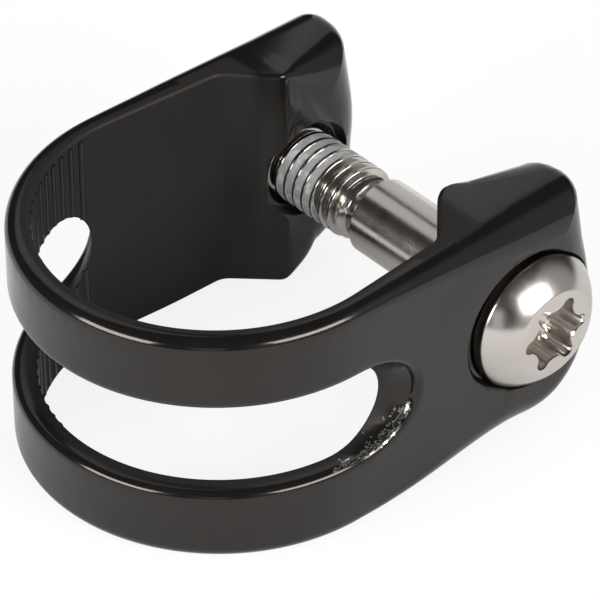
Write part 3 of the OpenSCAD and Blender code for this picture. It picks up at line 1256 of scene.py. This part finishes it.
@dataclass
class Thread:
    """Closed thread along Y with a helical ridge, made by Geometry Nodes."""

    name: str
    crest_r: float
    depth: float
    start: float
    length: float
    roundness: float
    unevenness: float
    seed: int
    pitch: float = 0.8
    axis_x: float = 13.8
    columns: int = 81
    rows: int = 380
    lump_scale: float = 1.6
    lump_r: float = 2.6
    merge_m: float = 1e-6
    flank: Pair = (0.55, 0.45)
    tip_area: float = 1e-12

    def tree(self, material: Material, values: dict[str, object]) -> NodeTree:
        """Geometry Nodes that wrap a grid round an axis and raise a helical ridge on it.

        Args:
            material: Finish that the thread takes.
            values: Default of each named input.

        Returns:
            The tree.
        """
        build, given = NodeBuilder.group(
            f"{self.name} helix", "GeometryNodeTree", {"Geometry": None, **values}, {"Geometry": None})
        calc = build.math
        grid = build.add("GeometryNodeMeshGrid", {
            "Size X": 1.0, "Size Y": 1.0, "Vertices X": self.columns, "Vertices Y": self.rows})
        place = build.add("GeometryNodeInputPosition").outputs["Position"]
        split = build.add("ShaderNodeSeparateXYZ", {"Vector": place}).outputs
        around = calc("ADD", split["X"], 0.5)
        along = calc("ADD", split["Y"], 0.5)
        angle = calc("MULTIPLY", around, TURN)
        cosine, sine = calc("COSINE", angle), calc("SINE", angle)
        run = calc("MULTIPLY", along, given["Length"])
        left = calc("SUBTRACT", given["Length"], run)
        y = calc("ADD", given["Start"], run)
        turns = calc("SUBTRACT", calc("DIVIDE", y, given["Pitch"]), around)
        ridge = calc("MULTIPLY", calc("PINGPONG", turns, 0.5), 2.0)
        low = calc("SUBTRACT", 0.5, calc("MULTIPLY", given["Roundness"], 0.5))
        height = build.ramp(ridge, calc("SUBTRACT", self.flank[0], low), calc("ADD", self.flank[1], low))
        run_in, run_out = (calc("MINIMUM", 1.0, calc("DIVIDE", way, given["Pitch"])) for way in (run, left))
        ends = calc("MULTIPLY", run_in, run_out)
        raised = calc("MULTIPLY", calc("MULTIPLY", height, ends), given["Depth"])
        base = calc("ADD", calc("SUBTRACT", given["Crest Radius"], given["Depth"]), raised)
        ring = build.vector(calc("MULTIPLY", cosine, self.lump_r), calc("MULTIPLY", y, 1.0 / MM),
                            calc("MULTIPLY", sine, self.lump_r))
        noise = build.add("ShaderNodeTexNoise", {
            "Scale": self.lump_scale, "Detail": 3.0, "Vector": ring, "W": given["Seed"],
        }, noise_dimensions="4D")
        lift = calc("MULTIPLY", calc("SUBTRACT", noise.outputs["Fac"], 0.5), given["Unevenness"])
        tipped = calc("GREATER_THAN", calc("MULTIPLY", run, left), self.tip_area)
        radius = calc("MULTIPLY", calc("ADD", base, lift), tipped)
        spot = build.vector(calc("ADD", given["Axis X"], calc("MULTIPLY", radius, cosine)), y,
                            calc("MULTIPLY", radius, sine))
        move = build.add("GeometryNodeSetPosition", {"Geometry": grid.outputs["Mesh"], "Position": spot})
        merge = build.add("GeometryNodeMergeByDistance", {
            "Geometry": move.outputs["Geometry"], "Distance": self.merge_m})
        outward = build.add("GeometryNodeFlipFaces", {"Mesh": merge.outputs["Geometry"]})
        return build.deliver(outward.outputs["Mesh"], material)

    def build(self, material: Material) -> Object:
        """Build the thread.

        Args:
            material: Its finish.

        Returns:
            The thread's object.
        """
        values = {
            "Crest Radius": self.crest_r * MM,
            "Depth": self.depth * MM,
            "Pitch": self.pitch * MM,
            "Start": self.start * MM,
            "Length": self.length * MM,
            "Axis X": self.axis_x * MM,
            "Roundness": self.roundness,
            "Unevenness": self.unevenness * MM,
            "Seed": self.seed,
        }
        thread = new_object(bpy.data.meshes.new(self.name))
        apply_tree(thread, self.tree(material, values), values)
        return thread


@dataclass
class ClampBolt:
    """Button-head bolt: six-lobe socket, plain shank, shoulder and helical thread."""

    bolt_x: float = 13.8
    seat_y: float = -11.17
    shank_r: float = 2.5
    shank_l: float = 12.6
    relief_r: float = 1.9
    relief_l: float = 0.9
    length: float = 23.7
    crest_r: float = 2.45
    thread_depth: float = 0.48
    thread_lap: float = 0.6
    thread_roundness: float = 0.35
    thread_seed: int = 3
    head_r: float = 4.5
    head_h: float = 3.3
    rim_h: float = 1.55
    face_r: float = 2.85
    face_edge: float = 0.12
    seat_edge: float = 0.15
    shank_edge: float = 0.1
    socket_a: float = 4.6
    socket_b: float = 3.3
    socket_d: float = 2.1
    lobe_points: int = 180
    lobe_start: float = 0.0625
    lobe_part: float = 3.0
    flute_share: float = 0.8
    socket_scales: tuple[float, ...] = (1.18, 1.0, 0.97, 0.86)
    mouth_lift: float = 0.4
    mouth_drop: float = 0.22
    floor_edge: float = 0.25
    floor_cone: float = 0.45
    dome_foot: float = 0.1
    shoulder_run: Pair = (0.32, 0.2)
    shoulder_edge: float = 0.08
    sharp_deg: float = 42.0

    def head_profile(self) -> Points:
        """Profile of the head and the shank up to the shoulder, from the head's middle.

        Returns:
            Radius and Y of each point.
        """
        top = self.seat_y - self.head_h
        drop = self.head_h - self.rim_h
        dome_c = (self.head_r ** 2 + self.rim_h ** 2 - self.face_r ** 2 - self.head_h ** 2) / (2.0 * drop)
        dome_r = math.hypot(self.head_r, self.rim_h + dome_c)
        low = math.atan2(self.head_r, self.rim_h + dome_c)
        high = math.atan2(self.face_r, self.head_h + dome_c)
        arc = np.linspace(high, low, 18)
        dome = table(dome_r * np.sin(arc), self.seat_y - (dome_r * np.cos(arc) - dome_c))
        shoulder_y = self.seat_y + self.shank_l
        return np.vstack([
            [(0.0, top), (self.face_r - self.face_edge, top)],
            dome,
            [(self.head_r, self.seat_y - self.rim_h + self.dome_foot)],
            [(self.head_r, self.seat_y - self.seat_edge)],
            [(self.head_r - self.seat_edge, self.seat_y), (self.shank_r + self.shank_edge, self.seat_y)],
            [(self.shank_r, self.seat_y + self.shank_edge)],
            [(self.shank_r, shoulder_y - self.shoulder_run[0])],
            [(self.shank_r - self.shoulder_edge, shoulder_y - self.shoulder_run[1]),
             (self.relief_r + self.shoulder_edge, shoulder_y)],
            [(self.relief_r, shoulder_y + self.shank_edge), (self.relief_r, shoulder_y + self.relief_l)],
            [(0.0, shoulder_y + self.relief_l)],
        ])

    def lobes(self) -> Points:
        """Six-lobe outline: round lobes joined by round flutes.

        Returns:
            X and Z of each point, from the bolt's axis.
        """
        a = (np.arange(self.lobe_points) + self.lobe_start) * TURN / self.lobe_points
        step = TURN / 6.0
        off = np.abs((a + step / 2.0) % step - step / 2.0)
        side = step / 2.0 - off
        lobe_r = (self.socket_a - self.socket_b) / self.lobe_part
        flute_r = (self.socket_a - self.socket_b) * self.flute_share
        lobe_c = self.socket_a / 2.0 - lobe_r
        flute_c = self.socket_b / 2.0 + flute_r
        lobe_off, flute_off = lobe_c * np.sin(off), flute_c * np.sin(side)
        lobe = lobe_c * np.cos(off) + np.sqrt(np.maximum(lobe_r ** 2 - lobe_off ** 2, 0.0))
        lobe = np.where(lobe_off < lobe_r, lobe, 0.0)
        flute = flute_c * np.cos(side) - np.sqrt(np.maximum(flute_r ** 2 - flute_off ** 2, 0.0))
        core = np.where(flute_off < flute_r, np.minimum(lobe_c, flute), lobe_c)
        r = np.maximum(lobe, core)
        return table(r * np.cos(a), r * np.sin(a))

    def socket(self) -> Mesh:
        """Shape of the socket, wider at its mouth and coned at its floor.

        Returns:
            The closed mesh.
        """
        top = self.seat_y - self.head_h
        floor = top + self.socket_d
        mouth = top - self.mouth_lift
        heights = (mouth, mouth, top + self.mouth_drop, floor - self.floor_edge, floor,
                   floor + self.floor_cone)
        rings = [self.lobes() * scale for scale in self.socket_scales]
        return stack_rings("socket", rings, heights, (self.bolt_x, 0.0))

    def build(self, material: Material) -> Object:
        """Build the bolt.

        Args:
            material: Its finish.

        Returns:
            The bolt's object.
        """
        bolt = new_object(lathe("bolt", self.head_profile(), (self.bolt_x, 0.0)))
        cut(bolt, [self.socket()])
        thread = Thread(
            name="thread", crest_r=self.crest_r, depth=self.thread_depth,
            roundness=self.thread_roundness, unevenness=0.0, seed=self.thread_seed,
            start=self.seat_y + self.shank_l + self.thread_lap,
            length=self.length - self.shank_l - self.thread_lap)
        join_meshes(bolt, thread.build(material))
        dress(bolt, material, self.sharp_deg, flat_kept=True)
        return bolt


@dataclass
class ThreadCoating:
    """Dried thread-lock coat over the thread next to the far ear."""

    end_y: float = 8.0
    length: float = 3.4
    radius: float = 2.74
    depth: float = 0.32
    roundness: float = 0.9
    unevenness: float = 0.09
    seed: int = 7

    def build(self, material: Material) -> Object:
        """Build the coat.

        Args:
            material: Its finish.

        Returns:
            The coat's object.
        """
        coat = Thread(
            name="thread_coat", crest_r=self.radius, depth=self.depth, roundness=self.roundness,
            unevenness=self.unevenness, seed=self.seed, start=self.end_y - self.length,
            length=self.length).build(material)
        dress(coat, material)
        return coat


@dataclass(frozen=True)
class Lamp:
    """One soft lamp, placed by the direction it comes from, in degrees, metres and watts."""

    name: str
    azimuth: float
    elevation: float
    distance: float
    width: float
    height: float
    power: float

    def build(self, target: Vector) -> None:
        """Make the lamp.

        Args:
            target: Point that the lamp faces, in metres.
        """
        a, e = math.radians(self.azimuth), math.radians(self.elevation)
        way = Vector((math.cos(a) * math.cos(e), math.sin(a) * math.cos(e), math.sin(e)))
        data = bpy.data.lights.new(self.name, "AREA")
        data.shape = "RECTANGLE"
        data.size = self.width
        data.size_y = self.height
        data.energy = self.power
        lamp = bpy.data.objects.new(self.name, data)
        lamp.location = target + way * self.distance
        lamp.rotation_euler = way.to_track_quat("Z", "Y").to_euler()
        bpy.context.scene.collection.objects.link(lamp)


@dataclass
class Studio:
    """Pale floor, soft lamps, white surroundings and the photograph's camera."""

    azimuth: float = -41.157
    elevation: float = 38.301
    roll: float = -0.475
    distance_mm: float = 300.131
    focal_px: float = 5052.7
    frame_px: float = 600.0
    target_mm: tuple[float, float, float] = (3.275, -3.457, 1.682)
    sensor_mm: float = 36.0
    clip_m: Pair = (0.01, 20.0)
    floor_z: float = -8.1
    floor_half_m: float = 2.0
    floor_color: Color = (0.85, 0.85, 0.85, 1.0)
    floor_rough: float = 0.9
    floor_glow: float = 0.85
    mirrored_glow: float = 0.08
    room_level: float = 0.025
    window_level: float = 0.4
    window_way: Pair = (0.423, 0.906)
    window_side: Pair = (0.5, 0.72)
    window_top: Pair = (0.85, 0.7)
    soft_level: float = 0.35
    lamp_target_m: tuple[float, float, float] = (0.004, 0.0, 0.0)
    lamps: tuple[Lamp, ...] = (
        Lamp("left lamp", 176.0, 22.0, 0.45, 0.30, 0.16, 2.2),
        Lamp("right lamp", -84.0, 30.0, 0.45, 0.30, 0.14, 2.0),
        Lamp("back card", 30.0, 22.0, 0.12, 0.066, 0.14, 0.022),
        Lamp("far card", 80.0, 51.0, 0.12, 0.058, 0.06, 0.0082),
        Lamp("low card", -137.0, 14.0, 0.12, 0.03, 0.05, 0.0032),
    )

    def camera(self) -> None:
        """Make the camera at the photograph's viewing angle."""
        a, e, r = (math.radians(v) for v in (self.azimuth, self.elevation, self.roll))
        back = Vector((math.sin(a) * math.cos(e), -math.cos(a) * math.cos(e), math.sin(e)))
        right = Vector((math.cos(a), math.sin(a), 0.0))
        up = right.cross(-back)
        turned_right = right * math.cos(r) + up * math.sin(r)
        turned_up = up * math.cos(r) - right * math.sin(r)
        data = bpy.data.cameras.new("camera")
        data.sensor_width = self.sensor_mm
        data.lens = self.focal_px / self.frame_px * self.sensor_mm
        data.clip_start, data.clip_end = self.clip_m
        camera = bpy.data.objects.new("camera", data)
        frame = Matrix((turned_right, turned_up, back)).transposed()
        place = (Vector(self.target_mm) + back * self.distance_mm) * MM
        camera.matrix_world = Matrix.Translation(place) @ frame.to_4x4()
        bpy.context.scene.collection.objects.link(camera)
        bpy.context.scene.camera = camera

    def floor(self) -> Object:
        """Make the floor, which keeps the part's shadow under a near white.

        Returns:
            The floor's object.
        """
        mesh = bpy.data.meshes.new("floor")
        corners = [(x * self.floor_half_m, y * self.floor_half_m, self.floor_z * MM)
                   for x, y in ((-1, -1), (1, -1), (1, 1), (-1, 1))]
        mesh.from_pydata(corners, [], [(0, 1, 2, 3)])
        material = bpy.data.materials.new("pale floor")
        material.use_nodes = True
        build = NodeBuilder(material.node_tree)
        nodes = material.node_tree.nodes
        build.feed(nodes["Principled BSDF"], {"Base Color": self.floor_color, "Roughness": self.floor_rough})
        glow = build.add("ShaderNodeEmission", {"Color": WHITE})
        path = build.add("ShaderNodeLightPath").outputs
        seen = build.math("MAXIMUM", path["Is Camera Ray"], path["Is Transmission Ray"])
        seen = build.math("MULTIPLY", seen, self.floor_glow)
        mirrored = build.math("MULTIPLY", path["Is Glossy Ray"], self.mirrored_glow)
        mix = build.add("ShaderNodeMixShader", {
            "Fac": build.math("MAXIMUM", seen, mirrored),
            1: nodes["Principled BSDF"].outputs["BSDF"], 2: glow.outputs["Emission"]})
        build.feed(nodes["Material Output"], {"Surface": mix.outputs["Shader"]})
        mesh.materials.append(material)
        return new_object(mesh)

    def world(self) -> None:
        """Light the scene softly and show white behind it."""
        world = bpy.data.worlds.new("studio")
        bpy.context.scene.world = world
        world.use_nodes = True
        build = NodeBuilder(world.node_tree)
        path = build.add("ShaderNodeLightPath").outputs
        place = build.add("ShaderNodeTexCoord").outputs["Generated"]
        way = build.add("ShaderNodeSeparateXYZ", {"Vector": place}).outputs
        aside = build.math("SUBTRACT", build.math("MULTIPLY", way["X"], self.window_way[0]),
                           build.math("MULTIPLY", way["Y"], self.window_way[1]))
        across = build.ramp(aside, *self.window_side)
        low = build.ramp(way["Z"], *self.window_top)
        window = build.math("MULTIPLY", build.math("MULTIPLY", across, low), self.window_level)
        mirrored = build.math("MULTIPLY", path["Is Glossy Ray"], build.math("ADD", window, self.room_level))
        other = build.math("MULTIPLY", build.math("SUBTRACT", 1.0, path["Is Glossy Ray"]), self.soft_level)
        seen = build.math("MAXIMUM", path["Is Camera Ray"], path["Is Transmission Ray"])
        strength = build.math("MAXIMUM", build.math("ADD", mirrored, other), seen)
        build.feed(world.node_tree.nodes["Background"], {"Color": WHITE, "Strength": strength})

    def build(self) -> None:
        """Make the camera, the lamps, the floor and the world."""
        bpy.context.scene.view_settings.view_transform = "Standard"
        self.camera()
        for lamp in self.lamps:
            lamp.build(Vector(self.lamp_target_m))
        self.floor()
        self.world()


@dataclass
class Dresser:
    """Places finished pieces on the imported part's bodies and keeps count."""

    made: list[str] = field(default_factory=list)

    def place(self, piece: Object, body: Body, slot: Slot, *nodes: str) -> None:
        """Hang a piece on its body.

        Args:
            piece: The piece.
            body: Body that it moves with.
            slot: Material slot of its finish in the imported record; not used.
            *nodes: Nodes that it stands for.
        """
        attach(piece, body.value)
        if nodes:
            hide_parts(*nodes)
        self.made.append(piece.name)
        LOG.info("%s: %d faces on %s", piece.name, len(piece.data.polygons), body.value)


def main() -> None:
    """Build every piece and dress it."""
    logging.basicConfig(level=logging.INFO, format="%(message)s")
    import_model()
    effects = SurfaceEffects.build()
    black, steel, grey = (kind().material(effects) for kind in (BlackFinish, SteelFinish, ThreadLockFinish))
    Studio().build()
    dresser = Dresser()
    band = ClampBand()
    dresser.place(band.build(black), Body.CLAMP, Slot.BLACK, "clamp_band")
    dresser.place(GripRibs().build(band, black), Body.CLAMP, Slot.BLACK)
    dresser.place(ClampBolt().build(steel), Body.BOLT, Slot.STEEL, "clamp_bolt")
    dresser.place(ThreadCoating().build(grey), Body.COATING, Slot.THREAD_LOCK, "thread_coating")
    LOG.info("pieces: %s", ", ".join(dresser.made))


if __name__ == "__main__":
    main()
